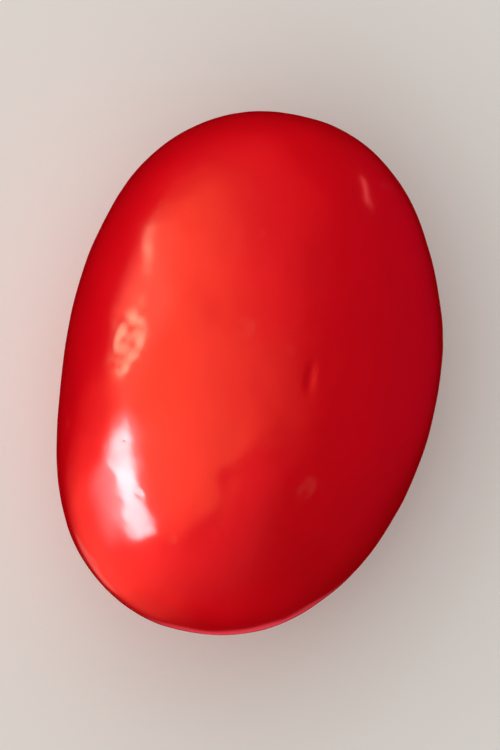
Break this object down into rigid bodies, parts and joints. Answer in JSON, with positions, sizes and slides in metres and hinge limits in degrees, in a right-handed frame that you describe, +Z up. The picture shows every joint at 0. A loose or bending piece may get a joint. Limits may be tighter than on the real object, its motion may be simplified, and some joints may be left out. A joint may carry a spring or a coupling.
{
  "type": "sugared almond",
  "caption": "Plump sugar-coated almond with a smooth glossy red shell: a full, slightly bowed oval sweet that lies on its broad face.",
  "frame": {"origin": "middle of the footprint, on the small flat that the almond rests on", "axes": "+Z up, through the two broad faces; +Y along the length, towards the thinner end; +X across the width, towards the fuller side"},
  "size_m": [0.0198, 0.028, 0.015],
  "materials": {
    "red_sugar_shell": "hard sugar shell, deep red, pan-polished to a clear glaze"
  },
  "bodies": {
    "root": {"sugared_almond": "red_sugar_shell"}
  },
  "joints": []
}
